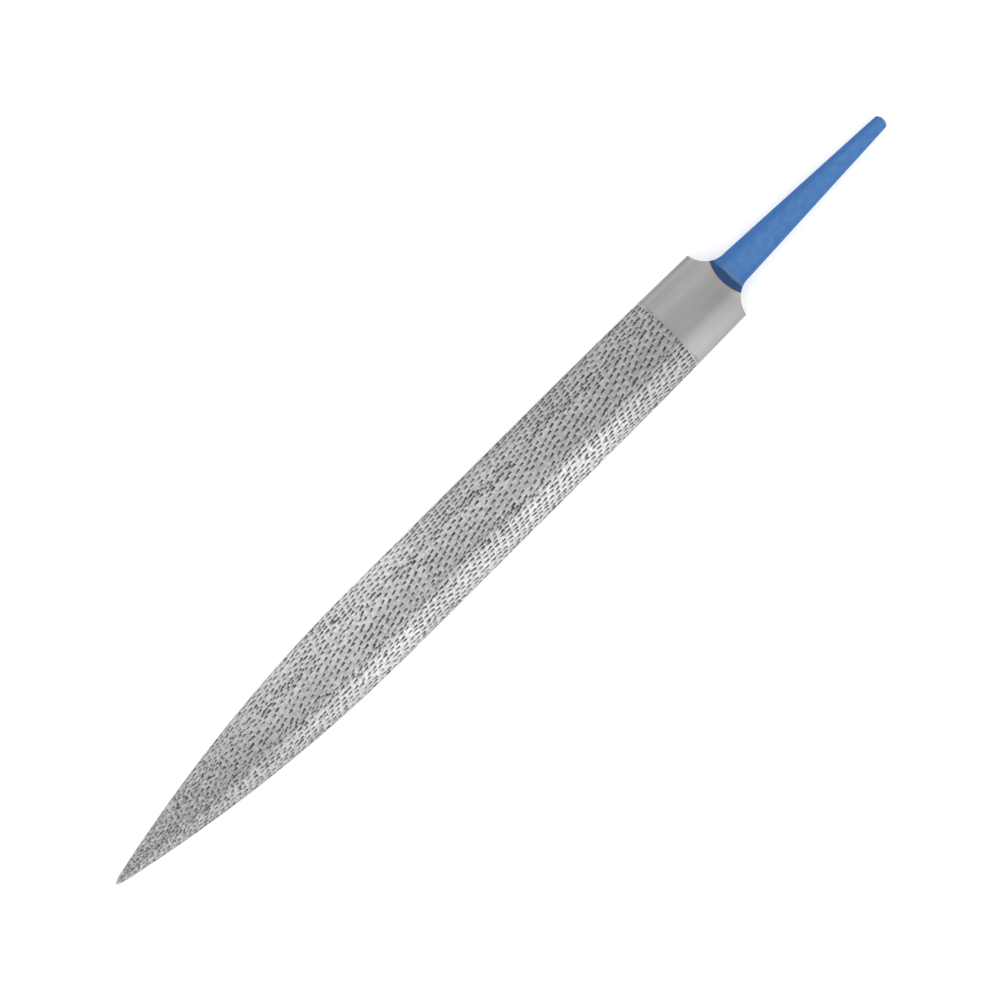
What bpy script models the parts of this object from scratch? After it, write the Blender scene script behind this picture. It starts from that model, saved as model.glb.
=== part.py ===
"""A half-round rasp with a 250 mm blade on a bare tang, modelled in metres.

The real rasp is one forging. Its four objects are the zones of that one piece of steel: the tang, drawn out
thin and dipped in blue lacquer; the heel, ground smooth and left without teeth; the toothed body, with its
teeth punched up out of both faces row by row; and the short plain point. Each zone is drawn in the rasp's
own coordinates, with x from the point towards the tang, y across, and z up from the flat face. A parent
empty then lays the rasp down on the teeth of its flat face, with the origin under the middle of its length.
"""

import math

import bmesh
import bpy
from mathutils import Vector
from mathutils.geometry import delaunay_2d_cdt

MM = 0.001

# Blade: the outline, thickness and half-round section that the zones share
BLADE_LENGTH = 250 * MM
BLADE_WIDTH = 25.8 * MM
BLADE_THICKNESS = 8 * MM
EDGE_LAND = 0.8 * MM
SHOULDER_WIDTH = 24.5 * MM
HEEL_TAPER_LENGTH = 65 * MM
BELLY_LENGTH = 110 * MM
THINNING_LENGTH = 120 * MM
POINT_WIDTH = 1.2 * MM
POINT_THICKNESS = 1.1 * MM
POINT_END_ROUND = 0.25 * MM

# Zones: the two stretches of blade without teeth, and the seam between one zone and the next
HEEL_LENGTH = 19.2 * MM
POINT_LENGTH = 4.5 * MM
ZONE_GAP = 0.3 * MM

# Teeth: each is a spur that leans back over a wide base, with a shallow gouge in front of it
TOOTH_HEIGHT = 0.45 * MM
TOOTH_WIDTH = 0.95 * MM
TOOTH_LEAN = 0.2 * MM
GOUGE_DEPTH = 0.12 * MM
TOOTH_PITCH = 2.25 * MM
ROW_PITCH = 2.45 * MM
TOOTH_MARGIN = 0.3 * MM
POINT_SIZE_SHARE = 0.6
STAGGER_SHARE = 0.28
BACK_SEAM_SHARES = (-1, -0.34, 0.34, 1)
FLAT_SEAM_SHARES = (-1, -0.34, 0.34, 1)

# Shoulders, and the ramp from the crown of the heel down to the tang
SCOOP_RADIUS = 7.8 * MM
RAMP_SETBACK = 1.5 * MM
RAMP_SLOPE = 1
RAMP_FILLET = 2.2 * MM
UNDER_STEP_LENGTH = 1.6 * MM

# Tang
TANG_LENGTH = 69 * MM
TANG_ROOT_WIDTH = 10.3 * MM
TANG_END_WIDTH = 4.3 * MM
TANG_ROOT_TOP = 5.1 * MM
TANG_END_TOP = 3.9 * MM
TANG_ROOT_UNDER = 0.5 * MM
TANG_END_UNDER = 1.4 * MM
TANG_END_CORNER = 1.3 * MM
FORGED_EDGE = 0.45 * MM

# Facets, and the working distances of the drawing itself
RIM_STEP = 4.5 * MM
BACK_FACETS = 24
HEAD_FACETS = 12
POINT_FACETS = 8
POINT_STEPS = 5
SCOOP_FACETS = 12
CORNER_FACETS = 4
EDGE_FACETS = 2
ROUND_PROFILE = 0.5
SHARP_ANGLE = math.radians(35)
FLAT_ANGLE = math.radians(0.5)
OVERRUN = 3 * MM
SLOPE_STEP = 0.05 * MM
HALVINGS = 40
INSIDE_OUTLINE = 1
SAME_POINT = 1e-6

# Colours, as the photographed steel and lacquer show them
CUT_STEEL_COLOUR = (0.55, 0.55, 0.55)
GROUND_STEEL_COLOUR = (0.45, 0.44, 0.43)
LACQUER_COLOUR = (0.07, 0.2, 0.47)

# The circle under the full section's round back
BACK_RISE = BLADE_THICKNESS - EDGE_LAND
BACK_RADIUS = ((BLADE_WIDTH / 2) ** 2 + BACK_RISE**2) / (2 * BACK_RISE)
BACK_ANGLE = math.asin(BLADE_WIDTH / 2 / BACK_RADIUS)

CUT_START = POINT_LENGTH
CUT_END = BLADE_LENGTH - HEEL_LENGTH
RAMP_TOP = BLADE_LENGTH + RAMP_SETBACK
RAMP_FOOT = RAMP_TOP + (BLADE_THICKNESS - TANG_ROOT_TOP) / RAMP_SLOPE
TANG_END = BLADE_LENGTH + TANG_LENGTH

# Each shoulder scoop is an arc that starts at the blade's corner and ends along the side of the tang
SCOOP_SIDE = TANG_ROOT_WIDTH / 2 + SCOOP_RADIUS
SCOOP_CENTRE = BLADE_LENGTH + math.sqrt(SCOOP_RADIUS**2 - max(0, SCOOP_SIDE - SHOULDER_WIDTH / 2) ** 2)
TANG_SIDE_ANGLE = math.atan((TANG_ROOT_WIDTH - TANG_END_WIDTH) / 2 / (TANG_END - SCOOP_CENTRE))


def drawn_in(run, length, drop):
    """How far a curve has come in after run, when it leaves straight and comes in by drop over length."""
    return drop * (max(run, 0) / length) ** 2


def half_width(x):
    """Half the blade's width: a belly that curves in to the point, and a slight taper to the shoulders."""
    belly = drawn_in(BELLY_LENGTH - x, BELLY_LENGTH, (BLADE_WIDTH - POINT_WIDTH) / 2)
    past_taper_start = x - BLADE_LENGTH + HEEL_TAPER_LENGTH
    taper = drawn_in(past_taper_start, HEEL_TAPER_LENGTH, (BLADE_WIDTH - SHOULDER_WIDTH) / 2)
    return BLADE_WIDTH / 2 - belly - taper


def thickness(x):
    """Height of the back's crown over the flat face."""
    return BLADE_THICKNESS - drawn_in(THINNING_LENGTH - x, THINNING_LENGTH, BLADE_THICKNESS - POINT_THICKNESS)


def back_point(x, share):
    """A point on the round back, whose two edges are at shares -1 and 1."""
    angle = share * BACK_ANGLE
    land = EDGE_LAND * thickness(x) / BLADE_THICKNESS
    rise = (math.cos(angle) - math.cos(BACK_ANGLE)) / (1 - math.cos(BACK_ANGLE))
    side = math.sin(angle) / math.sin(BACK_ANGLE)
    return Vector((x, half_width(x) * side, land + (thickness(x) - land) * rise))


def even_shares(count):
    """The ends of count equal steps from -1 to 1."""
    return [2 * step / count - 1 for step in range(count + 1)]


def plain_material(name, colour, roughness, metallic):
    material = bpy.data.materials.new(name)
    material.use_nodes = True
    shader = material.node_tree.nodes["Principled BSDF"]
    shader.inputs["Base Color"].default_value = (*colour, 1)
    shader.inputs["Roughness"].default_value = roughness
    shader.inputs["Metallic"].default_value = metallic
    return material


def shade(mesh):
    """Smooth over the fine facets, and sharp at the real edges."""
    mesh.shade_smooth()
    mesh.set_sharp_from_angle(angle=SHARP_ANGLE)


def new_object(name, material, draw):
    """An object whose mesh is what draw puts into an empty bmesh."""
    mesh = bpy.data.meshes.new(name)
    body = bmesh.new()
    draw(body)
    bmesh.ops.recalc_face_normals(body, faces=body.faces)
    body.to_mesh(mesh)
    body.free()
    mesh.materials.append(material)
    shade(mesh)
    made = bpy.data.objects.new(name, mesh)
    bpy.context.scene.collection.objects.link(made)
    return made


def half_round_loop(body, x, facets):
    """The half-round section at x, as a closed loop of edges."""
    ring = [body.verts.new(back_point(x, share)) for share in even_shares(facets)]
    ring.append(body.verts.new((x, half_width(x), 0)))
    ring.append(body.verts.new((x, -half_width(x), 0)))
    return [body.edges.new(pair) for pair in zip(ring, ring[1:] + ring[:1])]


def half_round_bar(body, stations, facets):
    """A closed bar through the half-round sections at the stations."""
    loops = [half_round_loop(body, x, facets) for x in stations]
    for near, far in zip(loops, loops[1:]):
        bmesh.ops.bridge_loops(body, edges=near + far)
    for end in (loops[0], loops[-1]):
        bmesh.ops.contextual_create(body, geom=end)


def prism(body, outline, sweep):
    """A flat outline extruded along sweep."""
    face = body.faces.new([body.verts.new(corner) for corner in outline])
    swept = bmesh.ops.extrude_face_region(body, geom=[face])["geom"]
    corners = [part for part in swept if isinstance(part, bmesh.types.BMVert)]
    bmesh.ops.translate(body, verts=corners, vec=sweep)


def plan_prism(body, plan):
    """A plan outline of (x, y) corners extruded through the thickness, with an overrun at both faces."""
    prism(body, [(x, y, -OVERRUN) for x, y in plan], (0, 0, BLADE_THICKNESS + 2 * OVERRUN))


def round_edges(body, edges, radius):
    bmesh.ops.bevel(
        body, geom=edges, offset=radius, segments=EDGE_FACETS, profile=ROUND_PROFILE,
        affect="EDGES", clamp_overlap=True,
    )


def cut_by(target, plan, operation):
    """Cuts target by the prism of a plan outline, for good."""
    cutter = new_object("plan_cutter", target.data.materials[0], lambda body: plan_prism(body, plan))
    cut = target.modifiers.new("Cut", "BOOLEAN")
    cut.object = cutter
    cut.operation = operation
    bpy.context.view_layer.update()
    finished = target.evaluated_get(bpy.context.evaluated_depsgraph_get())
    body = bmesh.new()
    body.from_mesh(finished.data)
    bmesh.ops.dissolve_limit(body, angle_limit=FLAT_ANGLE, verts=body.verts, edges=body.edges)
    target.modifiers.clear()
    body.to_mesh(target.data)
    body.free()
    bpy.data.objects.remove(cutter)
    shade(target.data)


def rounded_run(corners, radius):
    """An open run of 2-D corners, with an arc in place of each one between its two ends."""
    rounded = [corners[0]]
    for before, corner, after in zip(corners, corners[1:], corners[2:]):
        here = Vector(corner)
        back = (Vector(before) - here).normalized()
        ahead = (Vector(after) - here).normalized()
        half_angle = back.angle(ahead) / 2
        centre = here + (back + ahead).normalized() * radius / math.sin(half_angle)
        spoke = here + back * radius / math.tan(half_angle) - centre
        sweep = math.copysign(math.pi - 2 * half_angle, spoke.cross(ahead))
        for step in range(CORNER_FACETS + 1):
            turn = sweep * step / CORNER_FACETS
            across, along = math.cos(turn), math.sin(turn)
            rounded.append((
                centre.x + spoke.x * across - spoke.y * along,
                centre.y + spoke.x * along + spoke.y * across,
            ))
    return rounded + [corners[-1]]


def mirrored(run):
    """The same run of (x, y) points on the other side of the rasp, in reverse order."""
    return [(x, -y) for x, y in reversed(run)]


def lacquer_point(share):
    """Where the straight ramp leaves the round back, as (x, y)."""
    on_back = back_point(BLADE_LENGTH, share)
    return RAMP_TOP + (BLADE_THICKNESS - on_back.z) / RAMP_SLOPE, on_back.y


def lacquer_reach():
    """The share at which the ramp's upper edge runs out into the scoop, found by halving."""
    low, high = 0, 1
    for _ in range(HALVINGS):
        middle = (low + high) / 2
        x, y = lacquer_point(middle)
        if math.hypot(x - SCOOP_CENTRE, y - SCOOP_SIDE) < SCOOP_RADIUS:
            high = middle
        else:
            low = middle
    return low


def lacquer_line():
    """The upper edge of the ramp, from one scoop to the other: the seam between heel and tang."""
    reach = lacquer_reach()
    return [lacquer_point(reach * share) for share in even_shares(HEAD_FACETS)]


def scoop_arc(start, end):
    """The scoop beside the tang, on the side of positive y, between two angles round its centre."""
    angles = [start + (end - start) * step / SCOOP_FACETS for step in range(SCOOP_FACETS + 1)]
    return [
        (SCOOP_CENTRE + SCOOP_RADIUS * math.cos(angle), SCOOP_SIDE + SCOOP_RADIUS * math.sin(angle))
        for angle in angles
    ]


def scoop_angle(x, y):
    return math.atan2(y - SCOOP_SIDE, x - SCOOP_CENTRE)


def tang_plan():
    """The tang from above: the seam to the heel, the scoops, the straight taper and the blunt end."""
    seam = lacquer_line()
    side = scoop_arc(scoop_angle(*seam[-1]), TANG_SIDE_ANGLE - math.pi / 2)[1:]
    end = [(TANG_END, TANG_END_WIDTH / 2), (TANG_END, -TANG_END_WIDTH / 2)]
    blunt = rounded_run([side[-1], *end, mirrored(side)[0]], TANG_END_CORNER)
    return seam + side + blunt[1:-1] + mirrored(side)


def tang_profile():
    """The tang from the side, as (x, z): the ramp, the taper, and the small step up from the flat face."""
    above = [
        (RAMP_TOP - OVERRUN, BLADE_THICKNESS + OVERRUN * RAMP_SLOPE),
        (RAMP_FOOT, TANG_ROOT_TOP),
        (TANG_END + OVERRUN, TANG_END_TOP),
    ]
    below = [
        (TANG_END + OVERRUN, TANG_END_UNDER),
        (RAMP_FOOT + UNDER_STEP_LENGTH, TANG_ROOT_UNDER),
        (RAMP_FOOT, 0),
        (RAMP_TOP - OVERRUN, 0),
    ]
    return rounded_run(above, RAMP_FILLET) + below


def soften_forged_edges(tang):
    """Rounds the tang's sharp edges, except round the head, which has to match the heel."""
    body = bmesh.new()
    body.from_mesh(tang.data)
    head_end = lacquer_line()[-1][0] + FORGED_EDGE
    beyond_head = [edge for edge in body.edges if min(vert.co.x for vert in edge.verts) > head_end]
    sharp = [edge for edge in beyond_head if edge.calc_face_angle(0) > SHARP_ANGLE]
    round_edges(body, sharp, FORGED_EDGE)
    body.to_mesh(tang.data)
    body.free()
    shade(tang.data)


def build_tang(lacquer):
    """The tang: a plate with its side profile, cut to its plan."""
    profile = [(x, -BLADE_WIDTH / 2, z) for x, z in tang_profile()]
    tang = new_object("tang", lacquer, lambda body: prism(body, profile, (0, BLADE_WIDTH, 0)))
    cut_by(tang, tang_plan(), "INTERSECT")
    soften_forged_edges(tang)


def build_heel(steel):
    """The heel: the ground bar, cut away beyond the two scoops and the seam to the tang."""
    bar_end = RAMP_TOP + SCOOP_RADIUS
    stations = (CUT_END + ZONE_GAP, BLADE_LENGTH - HEEL_LENGTH / 2, BLADE_LENGTH, bar_end)
    heel = new_object("heel", steel, lambda body: half_round_bar(body, stations, BACK_FACETS))
    seam = lacquer_line()
    scoop = scoop_arc(scoop_angle(*seam[-1]), -math.pi)[1:]
    beside = BLADE_WIDTH / 2 + OVERRUN
    side = scoop + [(scoop[-1][0], beside), (bar_end + OVERRUN, beside)]
    waste = [(x - ZONE_GAP, y) for x, y in seam] + side + mirrored(side)
    cut_by(heel, waste, "DIFFERENCE")


def build_point(steel):
    """The plain point, left bare because the punch can't strike so near the end, and blunted."""
    reach = POINT_LENGTH - ZONE_GAP
    stations = [reach * step / POINT_STEPS for step in range(POINT_STEPS + 1)]

    def draw(body):
        half_round_bar(body, stations, POINT_FACETS)
        blunt_end = [edge for edge in body.edges if max(vert.co.x for vert in edge.verts) == 0]
        round_edges(body, blunt_end, POINT_END_ROUND)

    new_object("point", steel, draw)


def back_span(x):
    """From the crown to an edge of the round back, along its curve."""
    return BACK_RADIUS * BACK_ANGLE * half_width(x) / (BLADE_WIDTH / 2)


def over_back(x, across, height):
    """The point at a height over the round back, square to its surface."""
    share = across / back_span(x)
    foot = back_point(x, share)
    along = back_point(x + SLOPE_STEP, share) - foot
    aside = back_point(x, share + SLOPE_STEP / back_span(x)) - foot
    return foot + along.cross(aside).normalized() * height


def over_flat(x, across, height):
    """The point at a height over the flat face, which looks down."""
    return Vector((x, across, -height))


def tooth_places(span, seam_shares):
    """The (x, across, size) of each tooth of a face, size being 1 on the full width of the blade.

    The punch works from heel to point, in one pass along each stretch between two seams. Teeth and rows
    shrink and close up as the blade narrows, and each row is shifted sideways against the last. Every second
    pass begins half a row nearer the heel.
    """
    places = []
    for turn, (low_share, high_share) in enumerate(zip(seam_shares, seam_shares[1:])):
        x = CUT_END - TOOTH_LEAN - TOOTH_MARGIN
        if turn % 2 == 0:
            x -= ROW_PITCH / 2
        row = 0
        while x > CUT_START + ROW_PITCH / 2:
            size = POINT_SIZE_SHARE + (1 - POINT_SIZE_SHARE) * half_width(x) / (BLADE_WIDTH / 2)
            reach = span(x) - TOOTH_MARGIN - TOOTH_WIDTH / 2
            stretch = (high_share - low_share) * reach
            count = max(1, round(stretch / (TOOTH_PITCH * size)))
            shift = (1 / 2 - row * STAGGER_SHARE) % 1
            for tooth in range(count):
                places.append((x, low_share * reach + stretch * (tooth + shift) / count, size))
            x -= ROW_PITCH * size
            row += 1
    return places


def toothed_face(body, rim, rim_plan, over_surface, places):
    """A face with its teeth: a triangle net, drawn in plan inside the rim and then lifted onto the blade.

    Three corners make a tooth: two in the gouge, and the spur behind them. The steep triangle between the
    three is the cutting side, which looks to the blade's point.
    """
    plan, corners = list(rim_plan), list(rim)
    for x, across, size in places:
        for back, aside, height in (
            (0, -TOOTH_WIDTH / 2, -GOUGE_DEPTH),
            (0, TOOTH_WIDTH / 2, -GOUGE_DEPTH),
            (TOOTH_LEAN, 0, TOOTH_HEIGHT),
        ):
            place = (x + back * size, across + aside * size)
            plan.append(place)
            corners.append(body.verts.new(over_surface(*place, height * size)))
    outline = [(here, (here + 1) % len(rim)) for here in range(len(rim))]
    unit_plan = [Vector(place) / TOOTH_WIDTH for place in plan]
    net = delaunay_2d_cdt(unit_plan, outline, [], INSIDE_OUTLINE, SAME_POINT)
    triangles, source = net[2], net[3]
    for triangle in triangles:
        body.faces.new([corners[source[index][0]] for index in triangle])


def draw_toothed_body(body):
    """Two toothed faces inside the rims of the blade's two faces, and the lands and ends between the rims."""
    steps = math.ceil((CUT_END - CUT_START) / RIM_STEP)
    stations = [CUT_START + (CUT_END - CUT_START) * step / steps for step in range(steps + 1)]

    def face_rim(over_surface, span, heel_facets, point_facets):
        """Round a face: along one edge to the heel, across, back along the other edge, and across."""
        plan = [(x, -span(x)) for x in stations]
        plan += [(CUT_END, share * span(CUT_END)) for share in even_shares(heel_facets)[1:-1]]
        plan += [(x, span(x)) for x in reversed(stations)]
        plan += [(CUT_START, -share * span(CUT_START)) for share in even_shares(point_facets)[1:-1]]
        return [body.verts.new(over_surface(*place, 0)) for place in plan], plan

    back_rim, back_plan = face_rim(over_back, back_span, BACK_FACETS, POINT_FACETS)
    flat_rim, flat_plan = face_rim(over_flat, half_width, 1, 1)
    toothed_face(body, back_rim, back_plan, over_back, tooth_places(back_span, BACK_SEAM_SHARES))
    toothed_face(body, flat_rim, flat_plan, over_flat, tooth_places(half_width, FLAT_SEAM_SHARES))
    back_turn = steps + BACK_FACETS
    flat_turn = steps + 1
    for step in range(steps):
        for back, flat in ((step, step), (back_turn + step, flat_turn + step)):
            body.faces.new((back_rim[back], back_rim[back + 1], flat_rim[flat + 1], flat_rim[flat]))
    body.faces.new(back_rim[steps:back_turn + 1] + [flat_rim[flat_turn], flat_rim[steps]])
    body.faces.new(back_rim[back_turn + steps:] + [back_rim[0], flat_rim[0], flat_rim[-1]])


def main():
    for old in list(bpy.data.objects):
        bpy.data.objects.remove(old)
    ground_steel = plain_material("ground_steel", GROUND_STEEL_COLOUR, roughness=0.35, metallic=1)
    build_tang(plain_material("blue_lacquer", LACQUER_COLOUR, roughness=0.4, metallic=0))
    build_heel(ground_steel)
    cut_steel = plain_material("cut_steel", CUT_STEEL_COLOUR, roughness=0.45, metallic=1)
    new_object("toothed_body", cut_steel, draw_toothed_body)
    build_point(ground_steel)
    rasp = bpy.data.objects.new("half_round_rasp", None)
    rasp.location = (-TANG_END / 2, 0, TOOTH_HEIGHT)
    for drawn in list(bpy.data.objects):
        drawn.parent = rasp if drawn != rasp else None
    bpy.context.scene.collection.objects.link(rasp)


main()
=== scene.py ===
import math
import random

import bmesh
import bpy
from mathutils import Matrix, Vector
from mathutils.geometry import delaunay_2d_cdt
from mathutils.kdtree import KDTree


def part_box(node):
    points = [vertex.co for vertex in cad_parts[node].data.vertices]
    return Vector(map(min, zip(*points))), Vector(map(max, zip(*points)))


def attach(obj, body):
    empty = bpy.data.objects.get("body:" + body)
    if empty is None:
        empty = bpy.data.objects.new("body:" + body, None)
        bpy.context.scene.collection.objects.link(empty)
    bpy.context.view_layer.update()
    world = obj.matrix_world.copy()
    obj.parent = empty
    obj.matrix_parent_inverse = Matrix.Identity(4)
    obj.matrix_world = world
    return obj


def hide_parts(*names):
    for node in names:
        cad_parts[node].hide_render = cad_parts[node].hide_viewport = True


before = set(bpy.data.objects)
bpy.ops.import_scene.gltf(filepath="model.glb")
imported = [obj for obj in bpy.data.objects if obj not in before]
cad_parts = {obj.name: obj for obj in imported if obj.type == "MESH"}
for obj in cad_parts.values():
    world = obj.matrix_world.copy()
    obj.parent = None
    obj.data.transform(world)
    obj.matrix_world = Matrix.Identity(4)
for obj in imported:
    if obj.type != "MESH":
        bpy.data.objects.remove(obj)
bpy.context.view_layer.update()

# Camera: straight above the round back and far away, so that the long blade shows no perspective. It is
# turned so that the point lies at the lower left of the square picture and the tang at the upper right.
MM = 0.001
CAMERA_HEIGHT = 2000 * MM
EDGE_HEIGHT = 1.2 * MM
NEAREST_IN_VIEW = 100 * MM
PICTURE_SPAN = 294.5 * MM
PICTURE_CENTRE = (0.56 * MM, 0.29 * MM)
PICTURE_TURN = math.radians(-44.92)
FILM_WIDTH = 36

camera = bpy.data.objects.new("camera", bpy.data.cameras.new("camera"))
camera.data.sensor_width = FILM_WIDTH
camera.data.lens = FILM_WIDTH * (CAMERA_HEIGHT - EDGE_HEIGHT) / PICTURE_SPAN
camera.data.clip_start = NEAREST_IN_VIEW
camera.location = (*PICTURE_CENTRE, CAMERA_HEIGHT)
camera.rotation_euler = (0, 0, PICTURE_TURN)
bpy.context.scene.collection.objects.link(camera)
bpy.context.scene.camera = camera
bpy.context.scene.view_settings.view_transform = "Standard"


# Toothed body: the working length of the forged steel bar, half-round in section, with both faces covered in
# teeth. A pointed punch struck each tooth: it dug a pit and pushed the steel up behind it into a sharp burr.
# The machine worked from the heel to the point in three passes side by side, which clash where they meet.
BLADE_LENGTH = 250 * MM
BLADE_THICKNESS = 8 * MM
EDGE_LAND = 0.8 * MM
SHOULDER_WIDTH = 24.5 * MM
HEEL_TAPER_LENGTH = 65 * MM
BELLY_LENGTH = 110 * MM
THINNING_LENGTH = 120 * MM
POINT_WIDTH = 1.2 * MM
POINT_THICKNESS = 1.1 * MM
POINT_LENGTH = 4.5 * MM
HEEL_LENGTH = 19.2 * MM

tip_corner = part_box("point")[0]
blade_low, blade_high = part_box("toothed_body")
BLADE_WIDTH = blade_high.y - blade_low.y
FLAT_HEIGHT = tip_corner.z
CUT_START = POINT_LENGTH
CUT_END = BLADE_LENGTH - HEEL_LENGTH
BACK_RISE = BLADE_THICKNESS - EDGE_LAND
BACK_RADIUS = ((BLADE_WIDTH / 2) ** 2 + BACK_RISE**2) / (2 * BACK_RISE)
BACK_ANGLE = math.asin(BLADE_WIDTH / 2 / BACK_RADIUS)


def drawn_in(run, length, drop):
    """How far a curve has come in after run, when it leaves straight and comes in by drop over length."""
    return drop * (max(run, 0) / length) ** 2


def half_width(x):
    belly = drawn_in(BELLY_LENGTH - x, BELLY_LENGTH, (BLADE_WIDTH - POINT_WIDTH) / 2)
    past_taper_start = x - BLADE_LENGTH + HEEL_TAPER_LENGTH
    taper = drawn_in(past_taper_start, HEEL_TAPER_LENGTH, (BLADE_WIDTH - SHOULDER_WIDTH) / 2)
    return BLADE_WIDTH / 2 - belly - taper


def thickness(x):
    return BLADE_THICKNESS - drawn_in(THINNING_LENGTH - x, THINNING_LENGTH, BLADE_THICKNESS - POINT_THICKNESS)


def in_place(x, y, z):
    """From the rasp's own measure, from the point and up from the flat face, to where it lies."""
    return Vector((tip_corner.x + x, y, FLAT_HEIGHT + z))


def back_point(x, share):
    """A place on the round back, by its share of the way from the middle to an edge."""
    angle = share * BACK_ANGLE
    land = EDGE_LAND * thickness(x) / BLADE_THICKNESS
    rise_share = (math.cos(angle) - math.cos(BACK_ANGLE)) / (1 - math.cos(BACK_ANGLE))
    side = math.sin(angle) / math.sin(BACK_ANGLE)
    return in_place(x, half_width(x) * side, land + (thickness(x) - land) * rise_share)


def back_span(x):
    """How far the round back reaches from its middle line to an edge, over the curve."""
    return BACK_RADIUS * BACK_ANGLE * half_width(x) / (BLADE_WIDTH / 2)


def over_back(x, across, height):
    small_step = 0.05 * MM
    share = across / back_span(x)
    foot = back_point(x, share)
    along = back_point(x + small_step, share) - foot
    aside = back_point(x, share + small_step / back_span(x)) - foot
    return foot + along.cross(aside).normalized() * height


def over_flat(x, across, height):
    return in_place(x, across, -height)


# One full-sized tooth. Places along it are from the burr's edge towards the heel, and places aside are from
# its middle. A run along the pit goes from 0 at its sharp end to 1 at its blunt end, under the burr.
PIT_LENGTH = 2.2 * MM
PIT_WIDTH = 1.28 * MM
PIT_DEPTH = 0.36 * MM
PIT_FLOOR_CURVE = 0.7
PIT_BLUNT_START = 0.8
PIT_BLUNT_RUN = 0.2
PIT_BLUNTNESS = 0.75
BURR_HEIGHT = 0.42 * MM
BURR_LENGTH = 0.6 * MM
BURR_WIDTH = 1.06 * MM
BURR_WRAP = 0.14 * MM
BURR_LEAN = 0.08 * MM
BURR_CURVE = 1.6
LIP_HEIGHT = 0.06 * MM
LIP_REACH = 0.14 * MM
LIP_CREST = 0.6
LIP_HALF_SPREAD = 1.4
LIP_INNER_END = -0.2
LIP_OUTER_END = 2


def pit_half_width(run):
    blunt = max(0, (run - PIT_BLUNT_START) / PIT_BLUNT_RUN)
    return PIT_WIDTH / 2 * run**0.5 * math.sqrt(max(0, 1 - blunt**2 * PIT_BLUNTNESS))


def pit_depth(along, aside):
    run = 1 + along / PIT_LENGTH
    if not 0 < run < 1:
        return 0
    share = abs(aside) / pit_half_width(run)
    return PIT_DEPTH * run**PIT_FLOOR_CURVE * max(0, 1 - share**2)


def burr_edge(aside):
    return -BURR_WRAP * (2 * aside / BURR_WIDTH) ** 2


def burr_height(along, aside):
    behind = (along - burr_edge(aside)) / BURR_LENGTH
    width_share = abs(2 * aside / BURR_WIDTH)
    if not 0 <= behind < 1 or width_share >= 1:
        return 0
    return BURR_HEIGHT * (1 - behind) ** BURR_CURVE * (1 - width_share**2)


def lip_height(along, aside):
    run = 1 + along / PIT_LENGTH
    if not 0 < run < 1:
        return 0
    beyond = (abs(aside) - pit_half_width(run)) / LIP_REACH
    if not LIP_INNER_END < beyond < LIP_OUTER_END:
        return 0
    return LIP_HEIGHT * run * max(0, 1 - (beyond - LIP_CREST) ** 2 / LIP_HALF_SPREAD**2)


# The corners that a tooth gets: at these runs along the pit and its lips, and in these rows over the burr,
# each given by how far it lies behind the burr's edge and by its shares of the burr's half width.
HAIR = 0.01 * MM
PIT_CORNER_RUNS = (0.25, 0.6, 0.94)
LIP_CORNER_RUN = 0.6
FINE_BURR_ROWS = (
    (HAIR, (-0.85, -0.45, 0, 0.45, 0.85)),
    (0.4 * BURR_LENGTH, (-0.4, 0.4)),
    (BURR_LENGTH, (-0.55, 0, 0.55)),
)
PLAIN_BURR_ROWS = (
    (HAIR, (-0.7, 0, 0.7)),
    (0.5 * BURR_LENGTH, (0,)),
    (BURR_LENGTH, (-0.5, 0.5)),
)


def tooth_corners(fine):
    """The corners of a tooth as (along, aside): round the pit, along its floor, and over the burr."""
    found = [(HAIR - PIT_LENGTH, 0)]
    for run in PIT_CORNER_RUNS:
        for side in (-1, 0, 1):
            found.append(((run - 1) * PIT_LENGTH, side * pit_half_width(run)))
    if fine:
        lip_aside = pit_half_width(LIP_CORNER_RUN) + LIP_REACH
        found += [((LIP_CORNER_RUN - 1) * PIT_LENGTH, side * lip_aside) for side in (-1, 1)]
    for behind, width_shares in FINE_BURR_ROWS if fine else PLAIN_BURR_ROWS:
        for width_share in width_shares:
            aside = width_share * BURR_WIDTH / 2
            found.append((burr_edge(aside) + behind, aside))
    return found


# The three passes of a face, from the near edge to the far one: the shares of the face between which the pass
# runs, the distances between teeth and between rows, the share of a tooth distance that each row is set over
# by, how far the rows lean, how far the teeth are turned, and how slim they are.
NEAR_SEAM_SHARE = -0.31
FAR_SEAM_SHARE = 0.43
PASSES = (
    (-1, NEAR_SEAM_SHARE, 1.38 * MM, 2.52 * MM, 0.04, 0.48, 0.01, 0.84),
    (NEAR_SEAM_SHARE, FAR_SEAM_SHARE, 1.92 * MM, 2.18 * MM, 0.35, 0.06, 0.14, 1),
    (FAR_SEAM_SHARE, 1, 1.68 * MM, 2.42 * MM, 0.21, 0.28, 0.11, 0.95),
)
PASS_OVERLAP = 1.3 * MM
SEAM_WANDER = 0.8 * MM
SEAM_WAVE = 9 * MM
SEAM_DRIFT = 31 * MM
POINT_SIZE_SHARE = 0.62
MIDDLE_SIZE_SHARE = 0.97
SEAM_SIZE_SHARE = 0.86
GROWTH_RUN = 60 * MM
RUNS_BEFORE_GROWTH = 2.5


def rise(value, start, run, most=1):
    """0 up to start, 1 a run after it, evenly in between and on to most. A run below 0 goes the other way."""
    return min(most, max(0, (value - start) / run))


def peak(value, middle, reach):
    """1 at the middle, and evenly down to 0 at reach from it on both sides."""
    return max(0, 1 - abs(value - middle) / reach)


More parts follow.
